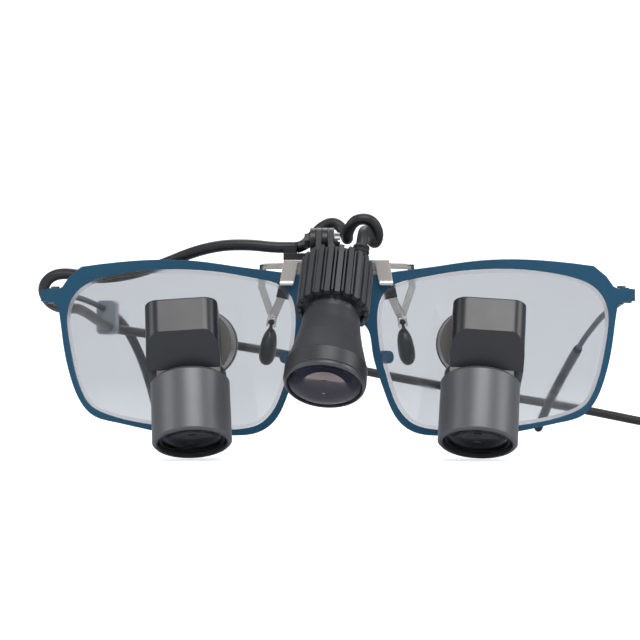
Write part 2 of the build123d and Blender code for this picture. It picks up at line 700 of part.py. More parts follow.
os.makedirs("parts", exist_ok=True)
build_sides()
build_middle()
build_cable()
print(len(written), "pieces written")
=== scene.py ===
# %% [markdown]
# # Dental loupes, dressed for a picture
# A pair of blue sheet-metal spectacles carries two prism telescopes and a small headlight.
# The hard parts come from CAD as a fixed frame, so this lesson is about three things:
# the soft pieces that CAD can only block in, the finish on every surface, and the light.
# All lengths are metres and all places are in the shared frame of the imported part.

import math

import bpy
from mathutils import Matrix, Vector


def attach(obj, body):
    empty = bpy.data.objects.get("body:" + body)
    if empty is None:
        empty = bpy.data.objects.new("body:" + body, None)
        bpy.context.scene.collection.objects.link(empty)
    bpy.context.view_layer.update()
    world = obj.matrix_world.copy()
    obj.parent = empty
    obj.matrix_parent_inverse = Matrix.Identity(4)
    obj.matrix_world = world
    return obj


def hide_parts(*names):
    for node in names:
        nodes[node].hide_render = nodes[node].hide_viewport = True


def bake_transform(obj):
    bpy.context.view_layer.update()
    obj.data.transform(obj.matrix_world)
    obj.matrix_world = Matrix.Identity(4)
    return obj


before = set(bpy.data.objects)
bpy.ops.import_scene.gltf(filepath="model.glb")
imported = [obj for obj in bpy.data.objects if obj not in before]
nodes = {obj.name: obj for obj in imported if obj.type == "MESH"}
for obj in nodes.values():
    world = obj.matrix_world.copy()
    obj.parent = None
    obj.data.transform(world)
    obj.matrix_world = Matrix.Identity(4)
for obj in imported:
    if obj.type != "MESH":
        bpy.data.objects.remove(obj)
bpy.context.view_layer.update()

# %% [markdown]
# The CAD source works in millimetres from the spectacles' front face. Its routes are repeated
# here with the same numbers, and one small helper moves them to the shared frame.

# %% Millimetres of the drawing to metres of the frame
MM = 0.001
DRAWING_X = 1.6
DRAWING_Y = -48.0


def at(x, y, z):
    """A point of the drawing, in the frame."""
    return Vector(((x + DRAWING_X) * MM, (y + DRAWING_Y) * MM, z * MM))


MIRROR_X = DRAWING_X * MM


def mirrored(point):
    return Vector((2 * MIRROR_X - point.x, point.y, point.z))


print("the symmetry plane is at x =", MIRROR_X)

# %% [markdown]
# ## The camera
# The camera comes first because the cord has to know what the picture shows. A long lens from
# nearly half a metre, only a finger's width above the table, gives the level, nearly flat view.

# %% Camera
CAMERA_PLACE = at(6.2, -416.0, 22.0)
CAMERA_PITCH = 91.29
CAMERA_YAW = 1.385

eye = bpy.data.cameras.new("camera")
eye.lens = 100.0
eye.sensor_width = 36.0
eye.clip_start = 0.01
camera = bpy.data.objects.new("camera", eye)
camera.location = CAMERA_PLACE
camera.rotation_euler = (math.radians(CAMERA_PITCH), 0.0, math.radians(CAMERA_YAW))
bpy.context.scene.collection.objects.link(camera)
bpy.context.scene.camera = camera
print("camera at", [round(v, 3) for v in CAMERA_PLACE])

# %% [markdown]
# ## The cable
# A cable is one length of something flexible. A NURBS curve of order 3 gives it a line with no
# kinks: the points below pull the line towards them, and it cuts softly inside each corner.
# The order is set after the points are added, since before that there is nothing to set it on.

# %% A smooth line from a few points
STEPS_PER_POINT = 10


def smooth_line(points):
    """Points along the NURBS curve that has these control points."""
    curve = bpy.data.curves.new("route", "CURVE")
    curve.dimensions = "3D"
    curve.resolution_u = STEPS_PER_POINT
    spline = curve.splines.new("NURBS")
    spline.points.add(len(points) - 1)
    for control, place in zip(spline.points, points):
        control.co = (*place, 1.0)
    spline.order_u = 3
    spline.use_endpoint_u = True
    carrier = bpy.data.objects.new("route", curve)
    mesh = bpy.data.meshes.new_from_object(carrier)
    line = [v.co.copy() for v in mesh.vertices]
    bpy.data.objects.remove(carrier)
    bpy.data.meshes.remove(mesh)
    bpy.data.curves.remove(curve)
    return line


def length_of(line):
    return sum((b - a).length for a, b in zip(line, line[1:]))


# %% [markdown]
# A tube is a row of rings round that line. Each ring starts from the last ring's sideways
# direction and is turned as little as possible, so that the tube's skin does not twist.

# %% Rings round a line
def put_in_scene(name, verts, faces, smooth=True):
    mesh = bpy.data.meshes.new(name)
    mesh.from_pydata([tuple(v) for v in verts], [], faces)
    mesh.validate()
    for polygon in mesh.polygons:
        polygon.use_smooth = smooth
    piece = bpy.data.objects.new(name, mesh)
    bpy.context.scene.collection.objects.link(piece)
    return piece


def rings_along(line, radius_at, sides):
    """Rings of points; radius_at(share, angle) is the skin's distance from the line."""
    rings = []
    last = len(line) - 1
    side = None
    for i, place in enumerate(line):
        ahead = (line[min(i + 1, last)] - line[max(i - 1, 0)]).normalized()
        if side is None:
            side = ahead.orthogonal()
        side = (side - ahead * side.dot(ahead)).normalized()
        other = ahead.cross(side)
        ring = []
        for k in range(sides):
            angle = math.tau * k / sides
            out = side * math.cos(angle) + other * math.sin(angle)
            ring.append(place + out * radius_at(i / last, angle))
        rings.append(ring)
    return rings


def skin(rings):
    """Vertices and faces of the surface through equal rings, closed at both ends."""
    sides = len(rings[0])
    verts = [v for ring in rings for v in ring]
    faces = []
    for i in range(len(rings) - 1):
        for k in range(sides):
            n = (k + 1) % sides
            low, high = i * sides, (i + 1) * sides
            faces.append((low + k, low + n, high + n, high + k))
    faces.append(tuple(reversed(range(sides))))
    start = (len(rings) - 1) * sides
    faces.append(tuple(range(start, start + sides)))
    return verts, faces


def tube(name, line, radius, sides=20):
    rings = rings_along(line, lambda share, angle: radius, sides)
    return put_in_scene(name, *skin(rings))


# %% [markdown]
# The captive cable has two lengths. The first leaves the lamp's boot, makes the tight service
# loop over the hinge and enters the holder on the bridge. The second runs behind the top bar,
# humps over the left hinge, drops outside it and follows the left arm to its clip.

# %% Routes of the captive cable
CABLE_D = 2.7 * MM

lamp_route = [
    at(5.8, -9.6, 47.4), at(6.1, -8.6, 50.0), at(6.6, -5.4, 52.2), at(7.6, -1.4, 51.2),
    at(9.0, 0.8, 48.9), at(10.0, -0.6, 51.6), at(8.2, -2.0, 54.8), at(4.6, -2.2, 54.9),
    at(2.6, -0.6, 52.2), at(2.6, 2.0, 49.9), at(1.8, 4.6, 52.6), at(-0.6, 5.8, 54.9),
    at(-3.6, 6.0, 53.7), at(-6.2, 5.2, 50.8), at(-7.9, 3.3, 48.9), at(-9.4, 3.0, 48.6),
]
temple_route = [
    at(-9.4, 3.0, 48.6), at(-14.4, 3.0, 48.5), at(-20.4, 3.4, 49.3), at(-27.6, 4.0, 49.2),
    at(-34.4, 5.0, 47.6), at(-42.0, 7.0, 44.6), at(-50.5, 9.4, 42.2), at(-59.0, 11.2, 41.6),
    at(-65.0, 14.6, 43.2), at(-70.2, 17.6, 42.8), at(-73.2, 21.2, 39.6), at(-72.0, 26.0, 35.9),
    at(-69.2, 33.0, 34.9), at(-68.4, 46.0, 35.6), at(-68.0, 60.0, 34.8), at(-67.3, 75.0, 33.0),
    at(-66.5, 88.0, 31.6), at(-66.2, 97.6, 31.2),
]
lamp_line = smooth_line(lamp_route)
temple_line = smooth_line(temple_route)
lamp_cable = tube("lamp_cable", lamp_line, CABLE_D / 2)
temple_cable = tube("temple_cable", temple_line, CABLE_D / 2)
print("lamp lead", round(length_of(lamp_line), 4), "temple lead", round(length_of(temple_line), 4))

# %% [markdown]
# The free cord hangs from the clip, falls to the table behind the loupes and runs out of view
# to the right, where the rest of it is wound into a neat coil of two layers. Each turn is a
# circle with one short stretch where the cord steps over to the next circle, as a hand-wound
# coil has. Below, the step is the last sixth of each turn. On the upper layer it comes one
# sixth earlier, so that the step up between the layers has room.

# %% The coil as control points
COIL_MIDDLE = (120.5, 126.0)
INNER_TURN = 10.95
TURN_GAP = 2.7
TURNS_ACROSS = 4
POINTS_PER_TURN = 24
# Order-3 control points pull the line inside their circle by this share.
PULL = 0.75 + 0.25 * math.cos(math.tau / POINTS_PER_TURN)
STEP_POINTS = POINTS_PER_TURN // 6


def coil_point(turned, radius, height):
    """Clockwise from the coil's far side, seen from above."""
    angle = math.pi / 2 - math.tau * turned / POINTS_PER_TURN
    reach = radius / PULL
    return at(COIL_MIDDLE[0] + reach * math.cos(angle), COIL_MIDDLE[1] + reach * math.sin(angle),
              height)


def coil_points():
    points = []
    outer = INNER_TURN + TURN_GAP * (TURNS_ACROSS - 1)
    low, high = TURN_GAP / 2, TURN_GAP * 1.5
    for k in range(TURNS_ACROSS * POINTS_PER_TURN):
        turn, step = divmod(k, POINTS_PER_TURN)
        share = max(0, step - (POINTS_PER_TURN - STEP_POINTS)) / STEP_POINTS
        radius = outer - TURN_GAP * turn
        if turn < TURNS_ACROSS - 1:
            points.append(coil_point(k, radius - TURN_GAP * share, low))
        else:
            lift = share * math.pi / 2
            radius += TURN_GAP * (1 - share - math.cos(lift))
            points.append(coil_point(k, radius, low + TURN_GAP * math.sin(lift)))
    first = TURNS_ACROSS * POINTS_PER_TURN
    rounds = (TURNS_ACROSS - 1) * POINTS_PER_TURN + POINTS_PER_TURN // 4
    for k in range(rounds + 1):
        turn, step = divmod(k + STEP_POINTS, POINTS_PER_TURN)
        share = max(0, step - (POINTS_PER_TURN - STEP_POINTS)) / STEP_POINTS
        radius = min(outer, INNER_TURN + TURN_GAP * (turn + share))
        points.append(coil_point(first + k, radius, high))
    return points


print(len(coil_points()), "points wind the coil")

# %% [markdown]
# The cord's line is the fall from the clip, the coil and the short lead to the plug, in one
# spline. It sags between the clip and the table, and is flat on the table before the coil.

# %% Route of the free cord
fall_route = [
    at(-66.2, 97.6, 31.2), at(-66.05, 101.4, 31.05), at(-63.2, 106.0, 30.6),
    at(-56.0, 110.4, 29.6), at(-44.0, 115.6, 27.9), at(-29.0, 120.4, 26.0),
    at(-10.0, 126.2, 22.3), at(8.0, 131.4, 18.3), at(27.0, 136.0, 14.6), at(47.0, 139.6, 11.2),
    at(66.0, 143.0, 8.2), at(83.0, 145.2, 4.9), at(96.0, 145.8, 2.2), at(106.0, 145.6, 1.4),
    at(114.0, 145.4, 1.36),
]
plug_route = [
    at(139.7, 119.0, 3.6), at(139.0, 111.5, 2.2), at(137.3, 104.0, 2.5), at(135.4, 96.6, 3.4),
]
free_line = smooth_line(fall_route + coil_points() + plug_route)
free_cable = tube("free_cable", free_line, CABLE_D / 2, sides=16)

# %% [markdown]
# ## Turned and swept pieces
# Many small parts are turned: a profile of (radius, distance along the axis) spun round a line.
# The axis places come from the drawing too.

# %% A lathe
def lathe(name, origin, axis, profile, sides=56):
    """The profile runs along the axis from the origin, in millimetres."""
    axis = axis.normalized()
    side = axis.orthogonal().normalized()
    other = axis.cross(side)
    rings = []
    for radius, along in profile:
        middle = origin + axis * along * MM
        ring = []
        for k in range(sides):
            angle = math.tau * k / sides
            ring.append(middle + (side * math.cos(angle) + other * math.sin(angle)) * radius * MM)
        rings.append(ring)
    return put_in_scene(name, *skin(rings))


def soften(piece, width, segments=2, angle=35.0):
    """Round a mesh's edges with a real bevel, so that they catch light as moulded edges do."""
    bevel = piece.modifiers.new("soft edges", "BEVEL")
    bevel.width = width
    bevel.segments = segments
    bevel.limit_method = "ANGLE"
    bevel.angle_limit = math.radians(angle)


# %% [markdown]
# The boot where the cable leaves the lamp is a short ribbed sleeve: its ribs let it bend without
# kinking. A lathe with a wavy profile makes them.

# %% The lamp's cable boot
RIBS = 4
BOOT_BEHIND = 4.4
FIRST_RIB = 0.7
RIB_PITCH = 1.0
boot_axis = (lamp_route[1] - lamp_route[0]).normalized()
boot_start = lamp_route[0] - boot_axis * BOOT_BEHIND * MM
boot_profile = [(1.5, 0.0), (1.95, 0.2)]
for rib in range(RIBS):
    low = FIRST_RIB + rib * RIB_PITCH
    boot_profile += [(1.95, low), (1.66, low + 0.18), (1.66, low + 0.5), (1.93, low + 0.68)]
boot_profile += [(1.9, 4.9), (1.72, 5.15), (1.36, 5.2)]
lamp_boot = lathe("lamp_boot", boot_start, boot_axis, boot_profile, sides=40)
print("boot with", RIBS, "grooves")

# %% [markdown]
# The arms end in soft sleeves that curve down behind the ears. Each is one swept skin: thin at
# its mouth, fuller towards the end, and closed by a small dome.

# %% Sleeves on the arms
LEFT_ARM = [
    (-68.2, 92.0, 37.0), (-64.9, 110.0, 33.4), (-60.9, 120.5, 23.6), (-57.6, 125.4, 11.5),
    (-55.6, 128.0, 1.35),
]
RIGHT_ARM = [
    (-68.2, 86.0, 28.0), (-66.8, 106.0, 21.6), (-65.0, 119.0, 15.6), (-62.3, 127.4, 8.4),
    (-60.0, 131.6, 1.35),
]
SLEEVE_R = 1.35 * MM
MOUTH_R = 1.1 * MM
MOUTH_SHARE = 0.05


def sleeve_radius(share, angle):
    if share < MOUTH_SHARE:
        return MOUTH_R + (SLEEVE_R - MOUTH_R) * math.sin(share / MOUTH_SHARE * math.pi / 2)
    return SLEEVE_R


DOME_RINGS = 5


def sleeve(name, arm, mirror):
    places = [at(*p) for p in arm]
    if mirror:
        places = [mirrored(p) for p in places]
    start = places[0] * 0.6 + places[1] * 0.4
    line = smooth_line([start, *places[1:]])
    rings = rings_along(line, sleeve_radius, 24)
    tail = (line[-1] - line[-2]).normalized()
    for k in range(1, DOME_RINGS + 1):
        lift = math.pi / 2 * k / (DOME_RINGS + 1)
        rings.append([line[-1] + (v - line[-1]) * math.cos(lift) + tail * SLEEVE_R * math.sin(lift)
                      for v in rings[len(line) - 1]])
    return put_in_scene(name, *skin(rings))


left_sleeve = sleeve("left_tip_sleeve", LEFT_ARM, False)
right_sleeve = sleeve("right_tip_sleeve", RIGHT_ARM, True)
print("two arm sleeves")

# %% [markdown]
# A nose pad is soft silicone moulded round a small stud. A squashed sphere with a slightly
# squared outline has the right fullness: round to the skin, flatter behind.

# %% Nose pads
PAD_MIDDLE = at(-16.4, 9.5, 25.2)
PAD_UP = Vector((0.17, -0.05, 0.985)).normalized()
PAD_IN = Vector((0.985, 0.0, -0.17)).normalized()
PAD_BACK = PAD_IN.cross(PAD_UP).normalized()
PAD_HALF = (4.5, 2.9, 1.95)
SQUARE = 0.82
TAPER = 0.14


def bulge(value, power):
    return math.copysign(abs(value) ** power, value)


def nose_pad(name, mirror):
    rings, sides, rows = [], 36, 20
    for row in range(rows + 1):
        lift = -math.pi / 2 + math.pi * row / rows
        waist = max(0.02, math.cos(lift)) ** SQUARE
        ring = []
        for k in range(sides):
            turn = math.tau * k / sides
            tall = bulge(math.cos(turn), SQUARE) * waist * PAD_HALF[0]
            deep = bulge(math.sin(turn), SQUARE) * waist * PAD_HALF[1]
            narrow = 1.0 - TAPER * tall / PAD_HALF[0]
            deep *= narrow
            thick = bulge(math.sin(lift), 0.9) * PAD_HALF[2] * narrow
            place = PAD_MIDDLE + (PAD_UP * tall + PAD_BACK * deep + PAD_IN * thick) * MM
            ring.append(mirrored(place) if mirror else place)
        rings.append(ring)
    verts, faces = skin(rings)
    if mirror:
        faces = [tuple(reversed(f)) for f in faces]
    return put_in_scene(name, verts, faces)


left_pad = nose_pad("left_silicone_pad", False)
right_pad = nose_pad("right_silicone_pad", True)
print("two nose pads")

# %% [markdown]
# Each pad hangs on a thin neck with a cross pin that clicks into the arm's socket. It is small,
# but it is what the eye sees between pad and arm from the side.

# %% Necks and pins of the pads
NECK_LOW = 3.9
PIN_UP = 5.9
PIN_OUT = -0.2
PIN_HALF = 1.2
PIN_R = 0.7
NECK_HALF_T = 0.35
NECK_HALF_D = 1.0


def pad_neck(name, mirror):
    rings = []
    for share in (0.0, 0.25, 0.5, 0.75, 1.0):
        up = NECK_LOW + (PIN_UP - NECK_LOW) * share
        grow = 1.0 + 1.1 * (1.0 - share) ** 3
        ring = []
        for k in range(16):
            turn = math.tau * k / 16
            out = bulge(math.cos(turn), 0.5) * NECK_HALF_T * grow + PIN_OUT
            back = bulge(math.sin(turn), 0.5) * NECK_HALF_D * grow
            ring.append(PAD_MIDDLE + (PAD_UP * up + PAD_IN * out + PAD_BACK * back) * MM)
        rings.append(ring)
    pin_middle = PAD_MIDDLE + (PAD_UP * PIN_UP + PAD_IN * PIN_OUT) * MM
    pin = [pin_middle + PAD_BACK * PIN_HALF * share * MM for share in (-1.0, 0.0, 1.0)]
    pin_rings = rings_along(pin, lambda share, angle: PIN_R * MM, 16)
    verts, faces = skin(rings)
    pin_verts, pin_faces = skin(pin_rings)
    faces = faces + [tuple(i + len(verts) for i in f) for f in pin_faces]
    verts = verts + pin_verts
    if mirror:
        verts = [mirrored(v) for v in verts]
        faces = [tuple(reversed(f)) for f in faces]
    return put_in_scene(name, verts, faces)


left_neck = pad_neck("left_pad_neck", False)
right_neck = pad_neck("right_pad_neck", True)
print("two pad necks")

# %% [markdown]
# The coil's tie is a strap of hook-and-loop tape: a flat band folded round the coil's section,
# with its end lapped over. A rounded rectangle, offset twice, gives its inside and outside.

# %% The coil's tie
TIE_HALF = (5.45, 2.72)
TIE_T = 0.55
TIE_WIDE = 5.0
TIE_CORNER = 1.5
COIL_MID_R = 15.0
TIE_LIFT = 0.32
TIE_LOWEST = 0.02


def rounded_loop(half_x, half_z, corner, steps=6):
    loop = []
    for quarter, (sx, sz) in enumerate([(1, 1), (-1, 1), (-1, -1), (1, -1)]):
        for k in range(steps + 1):
            angle = math.pi / 2 * (quarter + k / steps)
            loop.append((sx * (half_x - corner) + corner * math.cos(angle),
                         sz * (half_z - corner) + corner * math.sin(angle)))
    return loop


def tie_strap():
    inside = rounded_loop(*TIE_HALF, TIE_CORNER)
    outside = rounded_loop(TIE_HALF[0] + TIE_T, TIE_HALF[1] + TIE_T, TIE_CORNER + TIE_T)
    middle_x = COIL_MIDDLE[0] - COIL_MID_R
    middle_z = TURN_GAP + TIE_LIFT
    verts, faces = [], []
    count = len(inside)
    for loop, y in ((inside, -0.5), (outside, -0.5), (outside, 0.5), (inside, 0.5)):
        for x, z in loop:
            verts.append(at(middle_x + x, COIL_MIDDLE[1] + y * TIE_WIDE,
                            max(TIE_LOWEST, middle_z + z)))
    for ring in range(4):
        for k in range(count):
            n = (k + 1) % count
            a, b = ring * count, (ring + 1) % 4 * count
            faces.append((a + k, a + n, b + n, b + k))
    strap = put_in_scene("tie_strap", verts, faces, smooth=False)
    soften(strap, 0.12 * MM)
    return strap


tie = tie_strap()
print("tie round the coil")

# %% [markdown]
# The plug has a moulded body with a ribbed tail that flexes with the lead, and a plated sleeve
# that comes from CAD. The body is one turned profile.

# %% The plug's moulded body
TAIL_RIBS = 5
TAIL_START = 0.9
TAIL_PITCH = 1.25
TAIL_FLARE = 0.115
plug_axis = Vector((-0.24869, -0.968583, 0.0))
plug_start = plug_route[-1]
plug_profile = [(1.42, 0.0), (1.9, 0.12)]
for rib in range(TAIL_RIBS):
    low = TAIL_START + rib * TAIL_PITCH
    grown = TAIL_FLARE * (low - TAIL_START)
    plug_profile += [(1.92 + grown, low), (1.62 + grown, low + 0.25),
                     (1.62 + grown, low + 0.75), (1.98 + grown, low + 0.95)]
plug_profile += [(3.1, 7.9), (3.3, 8.4), (3.35, 9.2), (3.2, 10.6), (3.14, 13.5), (3.2, 16.4),
                 (3.35, 18.0), (3.35, 19.6), (3.2, 20.3), (2.9, 20.75), (2.0, 20.8)]
plug_moulding = lathe("plug_moulding", plug_start, plug_axis, plug_profile)
print("plug body", plug_profile[-1][1], "mm long")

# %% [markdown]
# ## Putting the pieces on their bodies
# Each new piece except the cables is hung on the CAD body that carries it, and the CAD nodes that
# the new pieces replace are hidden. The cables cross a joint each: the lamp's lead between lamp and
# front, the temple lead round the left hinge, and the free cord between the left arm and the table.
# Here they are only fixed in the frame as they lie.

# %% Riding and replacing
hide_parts("lamp_lead")
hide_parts("temple_lead")
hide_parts("free_cord", "cord_coil", "plug_lead")
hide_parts("strain_relief")
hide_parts("left_temple_tip")
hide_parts("right_temple_tip")
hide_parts("left_nose_pad")
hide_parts("right_nose_pad")
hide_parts("coil_tie")
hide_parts("plug_body")

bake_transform(lamp_cable)
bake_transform(temple_cable)
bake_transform(free_cable)
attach(lamp_boot, "lamp")
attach(left_sleeve, "left_temple")
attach(right_sleeve, "right_temple")
for pad in (left_pad, left_neck):
    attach(pad, "left_pad")
for pad in (right_pad, right_neck):
    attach(pad, "right_pad")
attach(tie, "front")
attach(plug_moulding, "front")

# %% [markdown]
# ## Finishes
# A finish is a small network of nodes. The helper below adds one node and fills its inputs: an
# input is given a plain value, or the socket that feeds it. Colours are written as a screen
# shows them, and turned into the linear light that Blender computes with.

# %% Node helpers
def colour(red, green, blue):
    linear = []
    for value in (red, green, blue):
        v = value / 255
        linear.append(v / 12.92 if v <= 0.04045 else ((v + 0.055) / 1.055) ** 2.4)
    return (*linear, 1.0)


def fill(tree, node, inputs):
    for key, value in inputs.items():
        if isinstance(value, bpy.types.NodeSocket):
            tree.links.new(value, node.inputs[key])
        else:
            node.inputs[key].default_value = value


def add(tree, kind, inputs=None, **settings):
    """One node; an input takes a value, or the output socket that feeds it."""
    made = tree.nodes.new("ShaderNode" + kind)
    for name, value in settings.items():
        setattr(made, name, value)
    fill(tree, made, inputs or {})
    return made


def math_node(tree, operation, *values, clamp=False):
    made = add(tree, "Math", dict(enumerate(values)), operation=operation, use_clamp=clamp)
    return made.outputs[0]


def smooth_mask(tree, value, low, high):
    """0 below low, 1 above high, and a soft step between."""
    made = add(tree, "MapRange", {"Value": value, "From Min": low, "From Max": high},
               interpolation_type="SMOOTHSTEP")
    return made.outputs["Result"]


def mix_colour(tree, share, first, second, blend="MIX"):
    made = add(tree, "Mix", {0: share, 6: first, 7: second}, data_type="RGBA", blend_type=blend)
    return made.outputs[2]


def new_group(name, inputs, outputs):
    """An empty node group with its named sockets, and its two end nodes."""
    tree = bpy.data.node_groups.new(name, "ShaderNodeTree")
    for label, kind, value in inputs:
        socket = tree.interface.new_socket(label, in_out="INPUT", socket_type="NodeSocket" + kind)
        if value is not None:
            socket.default_value = value
    for label, kind in outputs:
        tree.interface.new_socket(label, in_out="OUTPUT", socket_type="NodeSocket" + kind)
    enter = tree.nodes.new("NodeGroupInput")
    leave = tree.nodes.new("NodeGroupOutput")
    return tree, enter.outputs, lambda label, socket: tree.links.new(socket, leave.inputs[label])


def use_group(tree, group, inputs):
    made = tree.nodes.new("ShaderNodeGroup")
    made.node_tree = group
    fill(tree, made, inputs)
    return made.outputs


# %% [markdown]
# **Rubbed edges.** Handling rubs a finish off its edges first. The Bevel node gives the normal
# that the edge would have if it were rounded; where it differs from the true normal, there is
# an edge. A little noise breaks the line up. The group gives the rubbed colour and the rounded
# normal, so that even the sharpest machined edge catches a thin highlight.

# %% Group: rubbed edges
EDGE_R = 0.00022
rubbed, given, gives = new_group(
    "rubbed edges",
    [("Color", "Color", None), ("Worn Color", "Color", None), ("Amount", "Float", 0.6),
     ("Radius", "Float", EDGE_R), ("Vector", "Vector", None)],
    [("Color", "Color"), ("Normal", "Vector"), ("Edge", "Float")])
rounded = add(rubbed, "Bevel", {"Radius": given["Radius"]}, samples=4)
facing = add(rubbed, "NewGeometry")
match = add(rubbed, "VectorMath", {0: rounded.outputs[0], 1: facing.outputs["Normal"]},
            operation="DOT_PRODUCT")
edge = smooth_mask(rubbed, math_node(rubbed, "SUBTRACT", 1.0, match.outputs["Value"]), 0.02, 0.22)
chips = add(rubbed, "TexNoise", {"Vector": given["Vector"], "Scale": 900.0, "Detail": 3.0})
worn = math_node(rubbed, "MULTIPLY", edge, smooth_mask(rubbed, chips.outputs["Fac"], 0.3, 0.6))
worn = math_node(rubbed, "MULTIPLY", worn, given["Amount"])
gives("Color", mix_colour(rubbed, worn, given["Color"], given["Worn Color"]))
gives("Normal", rounded.outputs[0])
gives("Edge", worn)
print("group:", rubbed.name)

# %% [markdown]
# **Blasted grain.** Anodised aluminium is blasted with fine beads first, which leaves a surface
# of tiny dents. Two sizes of noise make them: one near a tenth of a millimetre for the sparkle,
# one ten times larger for the slight clouding that a dyed surface has.

# %% Group: blasted grain
blasted, given, gives = new_group(
    "blasted grain",
    [("Vector", "Vector", None), ("Roughness", "Float", 0.4), ("Clouding", "Float", 0.15)],
    [("Height", "Float"), ("Roughness", "Float"), ("Shade", "Float")])
fine = add(blasted, "TexNoise", {"Vector": given["Vector"], "Scale": 9000.0, "Detail": 2.0})
wide = add(blasted, "TexNoise", {"Vector": given["Vector"], "Scale": 420.0, "Detail": 4.0})
gives("Height", fine.outputs["Fac"])
cloud = math_node(blasted, "SUBTRACT", wide.outputs["Fac"], 0.5)
swing = math_node(blasted, "MULTIPLY", cloud, given["Clouding"])
gives("Roughness", math_node(blasted, "ADD", given["Roughness"], swing, clamp=True))
gives("Shade", math_node(blasted, "ADD", 1.0, math_node(blasted, "MULTIPLY", swing, 1.6)))
print("group:", blasted.name)

# %% [markdown]
# **Turning marks.** A lathe leaves fine rings round the axis. Their height depends only on the
# distance along the axis, so the group takes an origin and an axis, measures that distance, and
# reads a one-dimensional noise with it.

# %% Group: turning marks
turning, given, gives = new_group(
    "turning marks",
    [("Vector", "Vector", None), ("Origin", "Vector", None), ("Axis", "Vector", None),
     ("Rings per Metre", "Float", 9000.0)],
    [("Height", "Float"), ("Shade", "Float")])
offset = add(turning, "VectorMath", {0: given["Vector"], 1: given["Origin"]},
             operation="SUBTRACT")
along = add(turning, "VectorMath", {0: offset.outputs[0], 1: given["Axis"]},
            operation="DOT_PRODUCT")
reading = math_node(turning, "MULTIPLY", along.outputs["Value"], given["Rings per Metre"])
ring_noise = add(turning, "TexNoise", {"W": reading, "Scale": 1.0, "Detail": 3.0},
                 noise_dimensions="1D")
gives("Height", ring_noise.outputs["Fac"])
gives("Shade", math_node(turning, "ADD", 0.9,
                         math_node(turning, "MULTIPLY", ring_noise.outputs["Fac"], 0.2)))
print("group:", turning.name)

# %% [markdown]
# **Brushed lines.** A brushed face has long scratches in one direction. Squeezing a noise along
# that direction draws them: the vector is scaled little along the brush and a lot across it.

# %% Group: brushed lines
brushed, given, gives = new_group(
    "brushed lines",
    [("Vector", "Vector", None), ("Turn", "Vector", None), ("Stretch", "Vector", None)],
    [("Height", "Float"), ("Shade", "Float")])
laid = add(brushed, "Mapping", {"Vector": given["Vector"], "Rotation": given["Turn"],
                                "Scale": given["Stretch"]})
scratches = add(brushed, "TexNoise", {"Vector": laid.outputs[0], "Scale": 1.0, "Detail": 5.0,
                                      "Roughness": 0.65})
gives("Height", scratches.outputs["Fac"])
gives("Shade", math_node(brushed, "ADD", 0.86,
                         math_node(brushed, "MULTIPLY", scratches.outputs["Fac"], 0.28)))
print("group:", brushed.name)

# %% [markdown]
# **Handling.** Fingers leave soft, uneven gloss, and dust settles on faces that look up. The
# group shifts the roughness in broad patches and adds a breath of dust to level faces.

# %% Group: handling
handled, given, gives = new_group(
    "handling",
    [("Vector", "Vector", None), ("Color", "Color", None), ("Roughness", "Float", 0.4),
     ("Patches", "Float", 0.12), ("Dust", "Float", 0.1)],
    [("Color", "Color"), ("Roughness", "Float")])
patch = add(handled, "TexNoise", {"Vector": given["Vector"], "Scale": 130.0, "Detail": 5.0,
                                  "Distortion": 0.6})
swing = math_node(handled, "MULTIPLY", math_node(handled, "SUBTRACT", patch.outputs["Fac"], 0.5),
                  given["Patches"])
looks_up = add(handled, "SeparateXYZ", {0: add(handled, "NewGeometry").outputs["Normal"]})
settled = smooth_mask(handled, looks_up.outputs["Z"], 0.5, 1.0)
specks = add(handled, "TexNoise", {"Vector": given["Vector"], "Scale": 2600.0, "Detail": 2.0})
settled = math_node(handled, "MULTIPLY", settled,
                    smooth_mask(handled, specks.outputs["Fac"], 0.45, 0.75))
settled = math_node(handled, "MULTIPLY", settled, given["Dust"])
gives("Color", mix_colour(handled, settled, given["Color"], colour(190, 188, 182)))
rough = math_node(handled, "ADD", given["Roughness"], swing)
rough = math_node(handled, "ADD", rough, math_node(handled, "MULTIPLY", settled, 0.5), clamp=True)
gives("Roughness", rough)
print("group:", handled.name)

# %% [markdown]
# **Moulded skin.** Cable jackets, rubber and moulded plastic take the texture of their mould: a
# fine, rounded pebble. A Voronoi texture's distance gives the pebbles, and noise varies them.

# %% Group: moulded skin
moulded, given, gives = new_group(
    "moulded skin",
    [("Vector", "Vector", None), ("Pebbles per Metre", "Float", 3500.0)],
    [("Height", "Float"), ("Shade", "Float")])
cells = add(moulded, "TexVoronoi", {"Vector": given["Vector"], "Scale": given["Pebbles per Metre"]},
            feature="SMOOTH_F1")
soft = add(moulded, "TexNoise", {"Vector": given["Vector"], "Scale": 700.0, "Detail": 3.0})
gives("Height", math_node(moulded, "SUBTRACT", 1.0, cells.outputs["Distance"]))
gives("Shade", math_node(moulded, "ADD", 0.88,
                         math_node(moulded, "MULTIPLY", soft.outputs["Fac"], 0.24)))
print("group:", moulded.name)

# %% [markdown]
# One builder lays these effects over each other for every hard finish: base colour, grain or
# brush or turning marks, handling, rubbed edges, then one bump. The shader's own constants,
# such as metallic, coat and specular level, are set straight on its sockets.

# %% A hard finish from the groups
def start_finish(name):
    material = bpy.data.materials.new(name)
    material.use_nodes = True
    tree = material.node_tree
    shader = tree.nodes["Principled BSDF"]
    place = add(tree, "TexCoord").outputs["Object"]
    return material, tree, shader, place


def shaded(tree, base, shade):
    grey = add(tree, "CombineColor", {0: shade, 1: shade, 2: shade}).outputs[0]
    return mix_colour(tree, 1.0, base, grey, blend="MULTIPLY")


def set_sockets(shader, **values):
    for label, value in values.items():
        shader.inputs[label.replace("_", " ")].default_value = value


